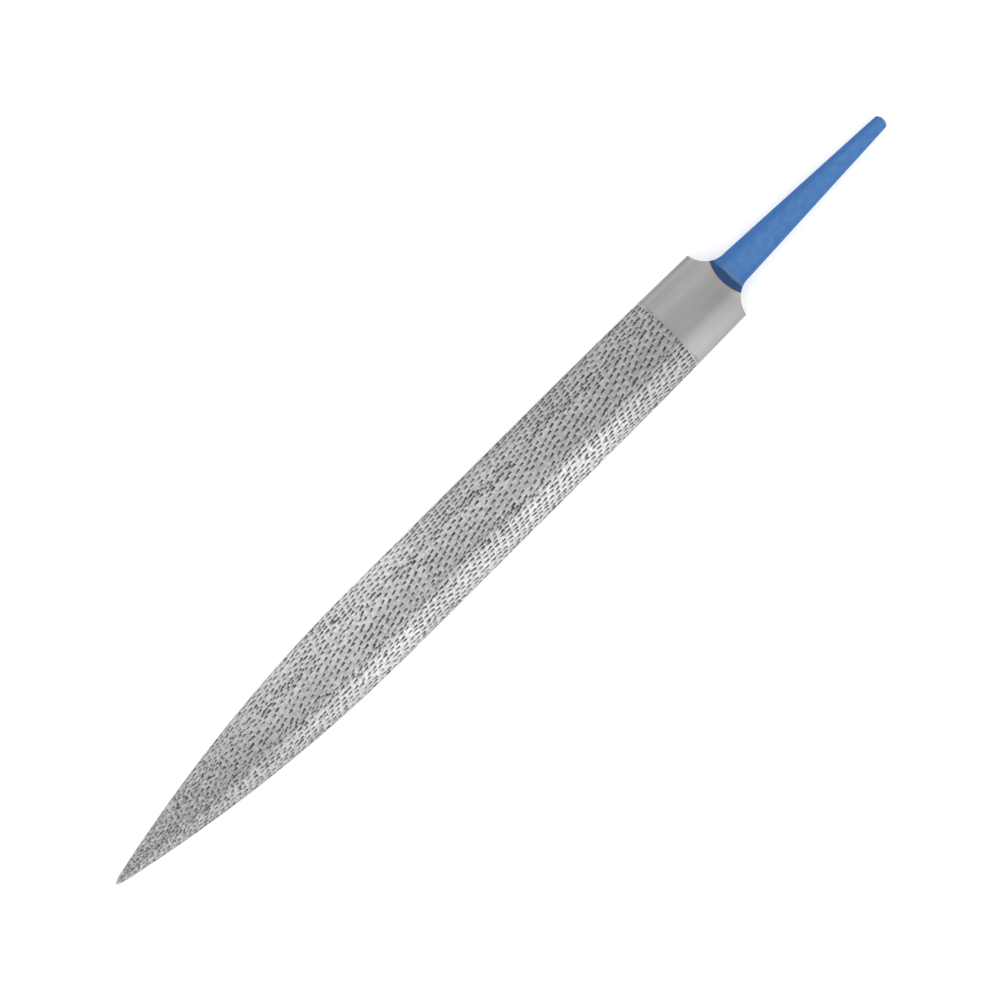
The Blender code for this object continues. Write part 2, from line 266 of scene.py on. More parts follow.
def size_at(x):
    """The size of a tooth: full at the heel, a little less along the blade, and small at the point."""
    along_blade = MIDDLE_SIZE_SHARE + (1 - MIDDLE_SIZE_SHARE) * rise(x / GROWTH_RUN, RUNS_BEFORE_GROWTH, 1)
    return along_blade * (POINT_SIZE_SHARE + (1 - POINT_SIZE_SHARE) * half_width(x) / (BLADE_WIDTH / 2))


def seam_wander(x):
    return SEAM_WANDER * size_at(x) * math.sin(x / SEAM_WAVE + 2 * math.sin(x / SEAM_DRIFT))


def tooth_tree(teeth):
    tree = KDTree(len(teeth))
    for index, (x, across, *_) in enumerate(teeth):
        tree.insert((x, across, 0), index)
    tree.balance()
    return tree


# The room that a pit keeps clear of others. A tooth that would run into an earlier one goes to the first of
# these steps, as (along, aside), where it is clear.
CLEAR_LENGTH = 0.62 * PIT_LENGTH
CLEAR_WIDTH = 0.86 * PIT_WIDTH
CLEAR_STEPS = (
    (0, 0), (-0.6 * MM, 0), (0.6 * MM, 0), (0, -0.4 * MM), (0, 0.4 * MM),
    (-0.9 * MM, 0.35 * MM), (0.9 * MM, -0.35 * MM), (-0.9 * MM, -0.35 * MM), (0.9 * MM, 0.35 * MM),
)


def clear_of(tree, x, across, size):
    for place, _, _ in tree.find_range((x, across, 0), PIT_LENGTH):
        if math.hypot((place.x - x) / CLEAR_LENGTH, (place.y - across) / CLEAR_WIDTH) < size:
            return False
    return True


def clear_place(tree, along, across, size, furthest):
    for slide, sidestep in CLEAR_STEPS:
        x = min(along + slide * size, furthest)
        if clear_of(tree, x, across + sidestep * size, size):
            return x, across + sidestep * size
    return None


# How the machine ran: the first rows bow round the heel and settle to their lean, all rows sway a little, and
# the teeth stand less and less evenly towards the point. At last a row follows each rim, where there is room.
FIRST_ROW_GAP = 0.3 * MM
FIRST_ROW_BOW = 1.5 * MM
SETTLING_LENGTH = 14 * MM
LAST_ROW_GAP = 0.3 * PIT_LENGTH
OVERRUN = 3 * MM
ROW_SWAY = 0.34 * MM
SIDE_SWAY_SHARE = 0.8
SWAY_WAVE = 7 * MM
SWAY_WAVE_ASIDE = 2.4 * MM
TURN_SWAY = 0.05
TURN_WAVE = 17 * MM
LOOSE_REACH = 140 * MM
LOOSENESS = 0.9
ALONG_SCATTER_MM = 0.2
ASIDE_SCATTER_MM = 0.13
TURN_SCATTER = 0.08
SET_OVER_SCATTER = 0.04
SMALLER_BY = 0.14
LARGEST = 1.1
MISSED_SHARE = 0.012
RIM_SIZE_SHARE = 0.85
RIM_INSET = 0.25 * MM
RIM_ROOM = 0.9
RIM_TURN = 0.05
RIM_PITCHES_MM = (1.8, 2.3)


def punch_teeth(span, dice):
    """Every tooth of a face, as (x, across, turn, size, slimness)."""
    teeth = []
    first = CUT_END - FIRST_ROW_GAP
    last = CUT_START + LAST_ROW_GAP
    for low_share, high_share, tooth_pitch, row_pitch, set_over, lean, turned, slim in PASSES:
        x = first
        shift = dice.random()
        phase = dice.uniform(0, math.tau)
        while x > last - OVERRUN:
            earlier = tooth_tree(teeth)
            size = size_at(x)
            reach = span(x)
            overlap = PASS_OVERLAP * size
            low = low_share * reach + (seam_wander(x) - overlap if low_share > -1 else 0)
            high = high_share * reach + (seam_wander(x) + overlap if high_share < 1 else 0)
            count = max(1, round((high - low) / (tooth_pitch * size)))
            pitch = (high - low) / count
            settled = rise(x, first, -SETTLING_LENGTH)
            loose = 1 + LOOSENESS * peak(x, 0, LOOSE_REACH)
            for tooth in range(count):
                across = low + (tooth + shift) * pitch
                crowded = (
                    (low_share > -1 and across - low < 2 * overlap)
                    or (high_share < 1 and high - across < 2 * overlap)
                )
                bow = FIRST_ROW_BOW * (across / reach) ** 2 * (1 - settled)
                along = x - bow + lean * settled * (across - (low + high) / 2)
                sway = ROW_SWAY * size * settled * math.sin(x / SWAY_WAVE + across / SWAY_WAVE_ASIDE + phase)
                along = min(along + sway + dice.gauss(0, ALONG_SCATTER_MM) * loose * MM * size, first - bow)
                across += SIDE_SWAY_SHARE * sway + dice.gauss(0, ASIDE_SCATTER_MM) * loose * MM * size
                turn = turned + TURN_SWAY * math.sin(x / TURN_WAVE + phase)
                turn += dice.gauss(0, TURN_SCATTER) * loose
                tooth_size = size * (SEAM_SIZE_SHARE if crowded else 1)
                tooth_size *= dice.uniform(1 - SMALLER_BY * loose, LARGEST)
                missed = dice.random() < MISSED_SHARE
                place = clear_place(earlier, along, across, tooth_size, first - bow)
                if place and not missed and place[0] > last and abs(place[1]) < span(place[0]):
                    teeth.append((*place, turn, tooth_size, slim))
            shift = (shift - set_over + dice.gauss(0, SET_OVER_SCATTER)) % 1
            x -= row_pitch * size
    earlier = tooth_tree(teeth)
    for side in (-1, 1):
        x = first - FIRST_ROW_BOW
        while x > last:
            size = RIM_SIZE_SHARE * size_at(x)
            across = side * (span(x) - RIM_INSET)
            if clear_of(earlier, x, across, RIM_ROOM * size):
                teeth.append((x, across, dice.gauss(RIM_TURN, TURN_SCATTER), size, 1))
            x -= dice.uniform(*RIM_PITCHES_MM) * MM * size
    return teeth


# Where the lands between the teeth are greyed: by the ground heel's own grey beside it, and by painted shade
# along the blade, at the point, and in bands across each face. A zone runs along the blade, from the point,
# and shares run across a face: both are (start, run). A band is (middle, reach).
HEEL_GREY_REACH = 7 * MM
LONG_SHADE_REACH = 85 * MM
LONG_SHADE_SLOPE = 1.1
LONG_SHADE_LEAST = 0.45
LONG_SHADE = 0.75
POINT_SHADE = 0.7
POINT_SHADE_ZONE = (95 * MM, -60 * MM)

MIDDLE_BAND = (-0.11, 0.32)
MIDDLE_SHADE = 0.55
SEAM_REACH = 1.8 * MM
NEAR_SEAM_SPREAD = 1.2 * MM
NEAR_SEAM_SPREAD_BAND = (103 * MM, 25 * MM)
FAR_SEAM_LEAST = 0.3
FAR_SEAM_ZONE = (110 * MM, 40 * MM)
FLANK_ZONE = (125 * MM, 25 * MM)
FLANK_END_ZONE = (225 * MM, -35 * MM)
FLANK_LEAST = 0.3
FLANK_SHARES = (0.4, 0.35)
FLANK_MOST = 1.3
NEAR_RIM_SHARES = (-0.7, -0.15)
NEAR_RIM_SHADE = 0.45
NEAR_TIP_ZONE = (100 * MM, -40 * MM)
NEAR_TIP_SHARES = (-0.1, -0.3)
NEAR_TIP_SHADE = 0.6
FAR_RIM_ZONE = (130 * MM, 20 * MM)
FAR_RIM_SHARES = (0.87, 0.05)
FAR_RIM_SHADE = 0.38
MOST_SHADE = 0.52


def softened(share):
    return share * share * (3 - 2 * share)


def heel_grey_and_shade(x, share):
    """The heel's own grey beside it, then painted shade, less along the blade and more at the point."""
    narrowed = min(1, max(LONG_SHADE_LEAST, 1 + LONG_SHADE_SLOPE * share))
    return max(
        peak(x, CUT_END, HEEL_GREY_REACH),
        LONG_SHADE * peak(x, CUT_END, LONG_SHADE_REACH * narrowed),
        POINT_SHADE * rise(x, *POINT_SHADE_ZONE),
    )


def painted_shade_tone(x, across, reach):
    """Painted shade of the lands: middle, seams, rims, and the far flank by the heel."""
    share = across / reach
    middle = MIDDLE_SHADE * softened(peak(share, *MIDDLE_BAND))
    near_seam_reach = SEAM_REACH + NEAR_SEAM_SPREAD * peak(x, *NEAR_SEAM_SPREAD_BAND)
    near_seam = peak(across, NEAR_SEAM_SHARE * reach + seam_wander(x), near_seam_reach)
    far_crowding = FAR_SEAM_LEAST + (1 - FAR_SEAM_LEAST) * rise(x, *FAR_SEAM_ZONE)
    far_seam = far_crowding * peak(across, FAR_SEAM_SHARE * reach + seam_wander(x), SEAM_REACH)
    flank = min(rise(x, *FLANK_ZONE), max(FLANK_LEAST, rise(x, *FLANK_END_ZONE)))
    flank *= rise(share, *FLANK_SHARES, most=FLANK_MOST)
    near_rim = NEAR_RIM_SHADE * rise(share, *NEAR_RIM_SHARES)
    near_tip = NEAR_TIP_SHADE * rise(x, *NEAR_TIP_ZONE) * rise(share, *NEAR_TIP_SHARES)
    far_rim = FAR_RIM_SHADE * rise(share, *FAR_RIM_SHARES) * rise(x, *FAR_RIM_ZONE)
    return MOST_SHADE * min(1, middle + max(near_seam, far_seam) + flank + near_rim + near_tip) + far_rim


# The meshes of the two faces meet the plain edge lands at the rims. There the teeth fade out a little, and no
# corner of a tooth comes nearer to a rim or an end than these gaps.
RIM_STEP = 0.4 * MM
BACK_FACETS = 64
FLAT_FACETS = 24
LAND_RIM_SHARE = 0.08
END_FADE = 0.6 * MM
RIM_TOOTH_SHARE = 0.8
POINT_END_GAP = 0.1 * MM
HEEL_END_GAP = 0.05 * MM
RIM_GAP = 0.12 * MM
TOOTH_REACH = 1.1 * (PIT_LENGTH + BURR_WIDTH)
# Burrs and pit lips get a painted highlight, growing with their height by this gain.
BURR_HIGHLIGHT_GAIN = 1.3
BACK_FINE_SIZE = 0
FLAT_FINE_SIZE = 0.8
BACK_SEED = 3
FLAT_SEED = 5
INSIDE_ONLY = 1
JOIN_WITHIN = 1e-5


def toothed_face(body, rim, rim_plan, over_surface, span, teeth, fine_from):
    """Covers a face with one net that has corners where the teeth need them, more above size fine_from."""
    tree = tooth_tree(teeth)
    tooth_layer = body.verts.layers.float_vector["tooth"]
    painted_shade_layer = body.verts.layers.float["painted_shade"]

    def struck(px, py):
        """How deep the pits, and how high the burrs and lips, are at a place on the face."""
        depth = burr = lip = 0
        for _, index, _ in tree.find_range((px, py, 0), TOOTH_REACH):
            x, across, turn, size, slim = teeth[index]
            cosine, sine = math.cos(turn), math.sin(turn)
            along = ((px - x) * cosine + (py - across) * sine) / size
            aside = (-(px - x) * sine + (py - across) * cosine) / (size * slim)
            depth = max(depth, pit_depth(along, aside) * size)
            burr = max(burr, burr_height(along, aside) * size)
            lip = max(lip, lip_height(along, aside) * size)
        return depth, burr, lip

    def settle(vert, px, py, fade):
        depth, burr, lip = struck(px, py)
        raised = burr if depth > 0 else max(burr, lip)
        lean = BURR_LEAN * burr / BURR_HEIGHT * fade
        vert.co = over_surface(px - lean, py, (raised - depth) * fade)
        size = size_at(px)
        in_pit = depth / (PIT_DEPTH * size)
        # A painted highlight on raised burrs and lips.
        burr_highlight = min(1, BURR_HIGHLIGHT_GAIN * raised / (BURR_HEIGHT * size))
        # The pit's depth share marks painted shade, the raised share a painted highlight, the last heel grey
        # and shade.
        vert[tooth_layer] = (in_pit, burr_highlight, heel_grey_and_shade(px, py / span(px)))
        # The painted shade that darkens the lands at this place.
        vert[painted_shade_layer] = painted_shade_tone(px, py, span(px))

    for vert, (px, py) in zip(rim, rim_plan):
        from_ends = min(CUT_END - px, px - CUT_START) / END_FADE
        fade = min(1, from_ends, 2 * thickness(px) / BLADE_THICKNESS)
        settle(vert, px, py, RIM_TOOTH_SHARE * max(0, fade))
    plan = list(rim_plan)
    corners = list(rim)
    fine_corners, plain_corners = tooth_corners(True), tooth_corners(False)
    for x, across, turn, size, slim in teeth:
        cosine, sine = math.cos(turn) * size, math.sin(turn) * size
        for along, aside in fine_corners if size > fine_from else plain_corners:
            px = x + along * cosine - aside * slim * sine
            py = across + along * sine + aside * slim * cosine
            if not CUT_START + POINT_END_GAP < px < CUT_END - HEEL_END_GAP or abs(py) > span(px) - RIM_GAP:
                continue
            vert = body.verts.new()
            settle(vert, px, py, 1)
            plan.append((px, py))
            corners.append(vert)
    outline = [(here, (here + 1) % len(rim)) for here in range(len(rim))]
    net_plan = [Vector(place) / PIT_WIDTH for place in plan]
    _, _, triangles, sources, *_ = delaunay_2d_cdt(net_plan, outline, [], INSIDE_ONLY, JOIN_WITHIN)
    for triangle in triangles:
        ring = [sources[index][0] for index in triangle]
        if len(set(ring)) == 3:
            body.faces.new([corners[index] for index in ring])
    for vert in [vert for vert in corners[len(rim):] if not vert.link_faces]:
        body.verts.remove(vert)


def edge_land(body, upper_rim, lower_rim):
    """The plain land along one edge. Its inner corners stay clear of the pits that run out at the rims."""
    tooth_layer = body.verts.layers.float_vector["tooth"]
    painted_shade_layer = body.verts.layers.float["painted_shade"]
    columns = []
    inner_shares = (LAND_RIM_SHARE, 1 - LAND_RIM_SHARE)
    for upper, lower in zip(upper_rim, lower_rim):
        inner = [body.verts.new(upper.co.lerp(lower.co, share)) for share in inner_shares]
        for vert, rim_vert in zip(inner, (upper, lower)):
            vert[tooth_layer] = (0, 0, rim_vert[tooth_layer].z)
            vert[painted_shade_layer] = rim_vert[painted_shade_layer]
        columns.append((upper, *inner, lower))
    for column, next_column in zip(columns, columns[1:]):
        for row in range(3):
            body.faces.new((column[row], next_column[row], next_column[row + 1], column[row + 1]))
    return [list(columns[end][1:3]) for end in (0, -1)]


def even_shares(count):
    return [2 * step / count - 1 for step in range(count + 1)]


def toothed_body():
    body = bmesh.new()
    body.verts.layers.float_vector.new("tooth")
    body.verts.layers.float.new("painted_shade")
    steps = math.ceil((CUT_END - CUT_START) / RIM_STEP)
    stations = [CUT_START + (CUT_END - CUT_START) * step / steps for step in range(steps + 1)]

    def face_rim(span, facets):
        """The corners round a face. Its narrow end at the point gets a quarter of the facets."""
        plan = [(x, -span(x)) for x in stations]
        plan += [(CUT_END, share * span(CUT_END)) for share in even_shares(facets)[1:-1]]
        plan += [(x, span(x)) for x in reversed(stations)]
        plan += [(CUT_START, -share * span(CUT_START)) for share in even_shares(facets // 4)[1:-1]]
        return [body.verts.new() for _ in plan], plan

    back_rim, back_plan = face_rim(back_span, BACK_FACETS)
    flat_rim, flat_plan = face_rim(half_width, FLAT_FACETS)
    back_teeth = punch_teeth(back_span, random.Random(BACK_SEED))
    flat_teeth = punch_teeth(half_width, random.Random(FLAT_SEED))
    toothed_face(body, back_rim, back_plan, over_back, back_span, back_teeth, BACK_FINE_SIZE)
    toothed_face(body, flat_rim, flat_plan, over_flat, half_width, flat_teeth, FLAT_FINE_SIZE)
    back_turn = steps + BACK_FACETS
    flat_turn = steps + FLAT_FACETS
    near_start, near_end = edge_land(body, back_rim[:steps + 1], flat_rim[:steps + 1])
    far_end, far_start = edge_land(
        body, back_rim[back_turn:back_turn + steps + 1], flat_rim[flat_turn:flat_turn + steps + 1]
    )
    body.faces.new(
        back_rim[steps:back_turn + 1] + far_end + flat_rim[steps:flat_turn + 1][::-1] + near_end[::-1]
    )
    body.faces.new(
        back_rim[back_turn + steps:] + back_rim[:1] + near_start
        + flat_rim[:1] + flat_rim[flat_turn + steps:][::-1] + far_start[::-1]
    )
    return body


SMOOTH_UP_TO = math.radians(40)
ALONG_BAR = (0.6, 1, 1)


def new_piece(name, body, material):
    bmesh.ops.recalc_face_normals(body, faces=body.faces)
    mesh = bpy.data.meshes.new(name)
    body.to_mesh(mesh)
    body.free()
    mesh.shade_smooth()
    mesh.set_sharp_from_angle(angle=SMOOTH_UP_TO)
    mesh.materials.append(material)
    piece = bpy.data.objects.new(name, mesh)
    bpy.context.scene.collection.objects.link(piece)
    return piece


def shader_material(name):
    material = bpy.data.materials.new(name)
    material.use_nodes = True
    return material, material.node_tree, material.node_tree.nodes["Principled BSDF"]


def wire(tree, source, target):
    tree.links.new(source, target)


def marks_on(tree, name):
    """The three values that the mesh carries under a name."""
    marks = tree.nodes.new("ShaderNodeAttribute")
    marks.attribute_name = name
    parts = tree.nodes.new("ShaderNodeSeparateXYZ")
    wire(tree, marks.outputs["Vector"], parts.inputs[0])
    return parts.outputs


def noise(tree, scale, detail, stretch=(1, 1, 1)):
    """Noise with scale features per metre, stretched along the axes."""
    place = tree.nodes.new("ShaderNodeTexCoord")
    mapping = tree.nodes.new("ShaderNodeMapping")
    mapping.inputs["Scale"].default_value = stretch
    texture = tree.nodes.new("ShaderNodeTexNoise")
    texture.inputs["Scale"].default_value = scale
    texture.inputs["Detail"].default_value = detail
    wire(tree, place.outputs["Object"], mapping.inputs["Vector"])
    wire(tree, mapping.outputs["Vector"], texture.inputs["Vector"])
    return texture.outputs["Fac"]


def ramp(tree, source, *stops):
    """A colour that follows source between two stops, each (place, colour), or (place, number) for a grey."""
    made = tree.nodes.new("ShaderNodeValToRGB")
    for element, (place, colour) in zip(made.color_ramp.elements, stops):
        element.position = place
        element.color = (*colour, 1) if isinstance(colour, tuple) else (colour, colour, colour, 1)
    wire(tree, source, made.inputs["Fac"])
    return made.outputs["Color"]


def mix_colour(tree, share, first, second, how="MIX"):
    made = tree.nodes.new("ShaderNodeMix")
    made.data_type = "RGBA"
    made.blend_type = how
    for value, socket in ((share, made.inputs[0]), (first, made.inputs[6]), (second, made.inputs[7])):
        if isinstance(value, bpy.types.NodeSocket):
            wire(tree, value, socket)
        elif isinstance(value, tuple):
            socket.default_value = (*value, 1)
        else:
            socket.default_value = value
    return made.outputs[2]


def darkened(tree, colour, tone, share=1):
    return mix_colour(tree, share, colour, tone, "MULTIPLY")


def gritty(tree, colour, scale, dark, light):
    """The colour with small dark and light spots that are drawn out along the bar."""
    grit = noise(tree, scale, 2, ALONG_BAR)
    return darkened(tree, colour, ramp(tree, grit, (0.4, dark), (0.6, light)))


def bump(tree, source, distance):
    made = tree.nodes.new("ShaderNodeBump")
    made.inputs["Distance"].default_value = distance
    wire(tree, source, made.inputs["Height"])
    return made


# Cut steel: bright fine-ground lands with blotches and lengthwise lines, pits darkened by painted shade, and
# burrs and pit lips lightened by painted highlights. Towards the point the lands turn gritty.
LAND_GREYS = ((0.93, 0.93, 0.925), (1, 1, 0.995))
# The lands' grey: the ground heel's own beside it, and painted shade further along and at the point.
LAND_GREY_AND_SHADE = (0.5, 0.5, 0.495)
# Painted shade on the lands.
PAINTED_SHADE_GREY = (0.5, 0.5, 0.5)
# Painted highlights on the burrs and pit lips, dimmer where the lands are grey.
PAINTED_BURR_GLINT = (1, 1, 0.995)
DIM_HEEL_GLINT = (0.74, 0.74, 0.735)
FINE_LINES = (70, 4200, 4200)
GRIT_START = 75 * MM
GRIT_FULL = 15 * MM
LINE_DEPTH = 0.005 * MM
BLOTCH_DEPTH = 0.035 * MM


def cut_steel():
    material, tree, shader = shader_material("cut_steel")
    in_pit, burr_highlight, greyed_and_shaded = marks_on(tree, "tooth")
    painted_shade = tree.nodes.new("ShaderNodeAttribute")
    painted_shade.attribute_name = "painted_shade"
    lines = noise(tree, 1, 3, FINE_LINES)
    cloud = noise(tree, 260, 3)
    blotches = noise(tree, 900, 2)

    land = ramp(tree, lines, (0.3, LAND_GREYS[0]), (0.7, LAND_GREYS[1]))
    land = darkened(tree, land, ramp(tree, noise(tree, 70, 2, ALONG_BAR), (0.35, 0.88), (0.65, 1)))
    # Painted shade: the lands darkened in bands across each face.
    land = darkened(tree, land, PAINTED_SHADE_GREY, painted_shade.outputs["Fac"])
    # The ground heel's grey beside it, and painted shade along the blade and at the point.
    land = mix_colour(tree, greyed_and_shaded, land, LAND_GREY_AND_SHADE)
    land = darkened(tree, land, ramp(tree, blotches, (0.36, 0.66), (0.66, 1)))

    place = tree.nodes.new("ShaderNodeTexCoord")
    along = tree.nodes.new("ShaderNodeSeparateXYZ")
    wire(tree, place.outputs["Object"], along.inputs[0])
    to_point = tree.nodes.new("ShaderNodeMapRange")
    to_point.inputs["From Min"].default_value = tip_corner.x + GRIT_START
    to_point.inputs["From Max"].default_value = tip_corner.x + GRIT_FULL
    wire(tree, along.outputs["X"], to_point.inputs["Value"])
    at_point = to_point.outputs["Result"]
    land = mix_colour(tree, at_point, land, gritty(tree, land, 1600, 0.64, 1.25))

    # Painted highlight on the burrs and lips: dimmer where the lands are grey, full again at the point.
    burr = mix_colour(tree, greyed_and_shaded, PAINTED_BURR_GLINT, DIM_HEEL_GLINT)
    burr = mix_colour(tree, at_point, burr, PAINTED_BURR_GLINT)
    # Painted shade in the pits: a dark grey filling each pit from its rim inwards.
    pit = ramp(tree, noise(tree, 600, 1), (0.35, 0.1), (0.65, 0.2))
    pit_shade_share = ramp(tree, in_pit, (0.02, 0), (0.42, 1))
    colour = mix_colour(tree, pit_shade_share, mix_colour(tree, burr_highlight, land, burr), pit)
    wire(tree, colour, shader.inputs["Base Color"])
    shader.inputs["Metallic"].default_value = 1
    wire(tree, ramp(tree, cloud, (0.3, 0.36), (0.7, 0.5)), shader.inputs["Roughness"])
    scratches = bump(tree, lines, LINE_DEPTH)
    wire(tree, bump(tree, blotches, BLOTCH_DEPTH).outputs["Normal"], scratches.inputs["Normal"])
    wire(tree, scratches.outputs["Normal"], shader.inputs["Normal"])
    return material


toothed = new_piece("toothed_blade", toothed_body(), cut_steel())
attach(toothed, "root")
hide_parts("toothed_body")


# Bare point: the last few millimetres of the same steel bar, which the punch can't reach. It is ground plain,
# its end is blunted, and like the heel it keeps the fine lines of the grinding wheel.
POINT_FACETS = 20
POINT_STEPS = 16
POINT_STEP_CURVE = 1.6
POINT_END_ROUND = 2.4 * MM
POINT_END_SHARE = 0.2
GROUND_GREYS = ((0.49, 0.49, 0.485), (0.56, 0.56, 0.555))
GROUND_SHADE = (0.7, 0.7, 0.7)
HEAT_TINT = (0.51, 0.475, 0.46)
WHEEL_LINES = (60, 2600, 2600)
WHEEL_LINE_DEPTH = 0.006 * MM


def skin(body, sections):
    """Faces between each closed section of corners and the next."""
    for near, far in zip(sections, sections[1:]):
        for here in range(len(near)):
            body.faces.new((near[here - 1], near[here], far[here], far[here - 1]))


def ground_steel():
    material, tree, shader = shader_material("ground_steel")
    tinted, heel_shade, rough_ground = marks_on(tree, "tint_shade_grit")
    lines = noise(tree, 1, 4, WHEEL_LINES)
    colour = ramp(tree, lines, (0.3, GROUND_GREYS[0]), (0.7, GROUND_GREYS[1]))
    colour = darkened(tree, colour, ramp(tree, noise(tree, 150, 3, (0.4, 1, 1)), (0.3, 0.93), (0.7, 1)))
    # Painted shade on the heel, where its second mark puts it.
    colour = darkened(tree, colour, GROUND_SHADE, heel_shade)
    colour = mix_colour(tree, tinted, colour, HEAT_TINT)
    colour = mix_colour(tree, rough_ground, colour, gritty(tree, colour, 1300, 0.5, 1.1))
    wire(tree, colour, shader.inputs["Base Color"])
    shader.inputs["Metallic"].default_value = 1
    wire(tree, ramp(tree, lines, (0.3, 0.34), (0.7, 0.44)), shader.inputs["Roughness"])
    wire(tree, bump(tree, lines, WHEEL_LINE_DEPTH).outputs["Normal"], shader.inputs["Normal"])
    return material


ground = ground_steel()
body = bmesh.new()
tint_shade_grit_layer = body.verts.layers.float_vector.new("tint_shade_grit")
sections = []
for step in range(POINT_STEPS + 1):
    x = CUT_START * (step / POINT_STEPS) ** POINT_STEP_CURVE
    section = [back_point(x, share) for share in even_shares(POINT_FACETS)]
    section += [in_place(x, half_width(x), 0), in_place(x, -half_width(x), 0)]
    middle = in_place(x, 0, thickness(x) / 2)
    drawn = math.sqrt(1 - max(0, 1 - x / POINT_END_ROUND) ** 2 * (1 - POINT_END_SHARE**2))
    sections.append([body.verts.new(middle + (place - middle) * drawn) for place in section])
    for vert in sections[-1]:
        vert[tint_shade_grit_layer] = (0, 0, 1)
skin(body, sections)
body.faces.new(sections[0])
body.faces.new(sections[-1])
point = new_piece("bare_point", body, ground)
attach(point, "root")
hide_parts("point")


# Ground heel: the plain end of the bar beside the tang, left without teeth and ground smooth lengthwise. A
# round scoop on each side takes its shoulders in to the tang, and by the lacquer the steel is tinted brown.
SCOOP_RADIUS = 7.8 * MM
RAMP_SETBACK = 1.5 * MM
TANG_ROOT_WIDTH = 10.3 * MM
HEEL_STEPS = 24
SEAM_COLUMNS = 48
SHOULDER_COLUMNS = 20
SEARCH_STEPS = 2000
CLOSING_IN_ROUNDS = 6
GROUND_EDGE = 0.12 * MM
SHARP_FROM = math.radians(50)

TINT_REACH = 2.5 * MM
TINT_SIDE_FADE = 6
# Painted shade on the ground heel: by the shoulder on the near flank, in a band on the lit flank, over the
# far side and the far flank, and most at the far edge, more so by the shoulder.
NEAR_FLANK = (0.1, -0.25)
LIT_FLANK = (-0.55, 0.25)
FAR_FLANK = (0.58, 0.3)
FAR_EDGE = (0.8, 0.1)
NEAR_SHOULDER_SHADE = 0.43
LIT_FLANK_SHADE = 0.27
FAR_SIDE_SHADE = 0.15
FAR_FLANK_SHADE = 0.2
FAR_EDGE_SHADE = 0.7

SCOOP_SIDE = TANG_ROOT_WIDTH / 2 + SCOOP_RADIUS
SCOOP_CENTRE = BLADE_LENGTH + math.sqrt(SCOOP_RADIUS**2 - (SCOOP_SIDE - SHOULDER_WIDTH / 2) ** 2)
RAMP_TOP = BLADE_LENGTH + RAMP_SETBACK


def ramp_start(share):
    """Where the ramp down to the tang leaves the round back, from the point."""
    x = RAMP_TOP
    for _ in range(CLOSING_IN_ROUNDS):
        x = RAMP_TOP + BLADE_THICKNESS - (back_point(x, share).z - FLAT_HEIGHT)
    return x


def scoop_start(share):
    """Where a shoulder scoop cuts into the round back, from the point."""
    x = BLADE_LENGTH
    for _ in range(CLOSING_IN_ROUNDS):
        aside = SCOOP_SIDE - abs(back_point(x, share).y)
        x = SCOOP_CENTRE - math.sqrt(max(0, SCOOP_RADIUS**2 - aside**2))
    return x


# The painted shade of the heel at a place.
def heel_painted_shade(x, share):
    to_shoulder = rise(x, CUT_END, BLADE_LENGTH - CUT_END)
    near_flank = rise(share, *NEAR_FLANK)
    return max(
        NEAR_SHOULDER_SHADE * to_shoulder * near_flank + LIT_FLANK_SHADE * peak(share, *LIT_FLANK),
        FAR_SIDE_SHADE * (1 - near_flank) + FAR_FLANK_SHADE * peak(share, *FAR_FLANK),
        rise(share, *FAR_EDGE) * (FAR_EDGE_SHADE + (1 - FAR_EDGE_SHADE) * to_shoulder),
    )


search = [step / SEARCH_STEPS for step in range(SEARCH_STEPS)]
seam_reach = next(share for share in search if scoop_start(share) < ramp_start(share))
beside_seam = [(1 - seam_reach) * step / SHOULDER_COLUMNS for step in range(SHOULDER_COLUMNS + 1)]
shares = [-1 + step for step in beside_seam[:-1]]
shares += [seam_reach * share for share in even_shares(SEAM_COLUMNS)]
shares += [seam_reach + step for step in beside_seam[1:]]

body = bmesh.new()
tint_shade_grit_layer = body.verts.layers.float_vector.new("tint_shade_grit")
above, below = [], []
for step in range(HEEL_STEPS + 1):
    above.append([])
    below.append([])
    for share in shares:
        end = min(ramp_start(share), scoop_start(share))
        x = CUT_END + (end - CUT_END) * step / HEEL_STEPS
        top = back_point(x, share)
        above[-1].append(body.verts.new(top))
        below[-1].append(body.verts.new((top.x, top.y, FLAT_HEIGHT)))
        from_seam = (end - x) / TINT_REACH + max(0, abs(share) - seam_reach) * TINT_SIDE_FADE
        above[-1][-1][tint_shade_grit_layer] = (max(0, 1 - from_seam), heel_painted_shade(x, share), 0)
for face in (above, below):
    for row, next_row in zip(face, face[1:]):
        for column in range(len(shares) - 1):
            body.faces.new((row[column], row[column + 1], next_row[column + 1], next_row[column]))
for column in range(len(shares) - 1):
    for upper, lower in ((above[0], below[0]), (above[-1], below[-1])):
        body.faces.new((upper[column], upper[column + 1], lower[column + 1], lower[column]))
for step in range(HEEL_STEPS):
    for side in (0, -1):
        body.faces.new((above[step][side], above[step + 1][side], below[step + 1][side], below[step][side]))
bmesh.ops.recalc_face_normals(body, faces=body.faces)
front = tip_corner.x + CUT_END + HAIR
sharp = [
    edge for edge in body.edges
    if edge.calc_face_angle(0) > SHARP_FROM and min(vert.co.x for vert in edge.verts) > front
]
bmesh.ops.bevel(
    body, geom=sharp, offset=GROUND_EDGE, segments=2, profile=0.5, affect="EDGES", clamp_overlap=True
)
heel = new_piece("ground_heel", body, ground)
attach(heel, "root")
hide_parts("heel")


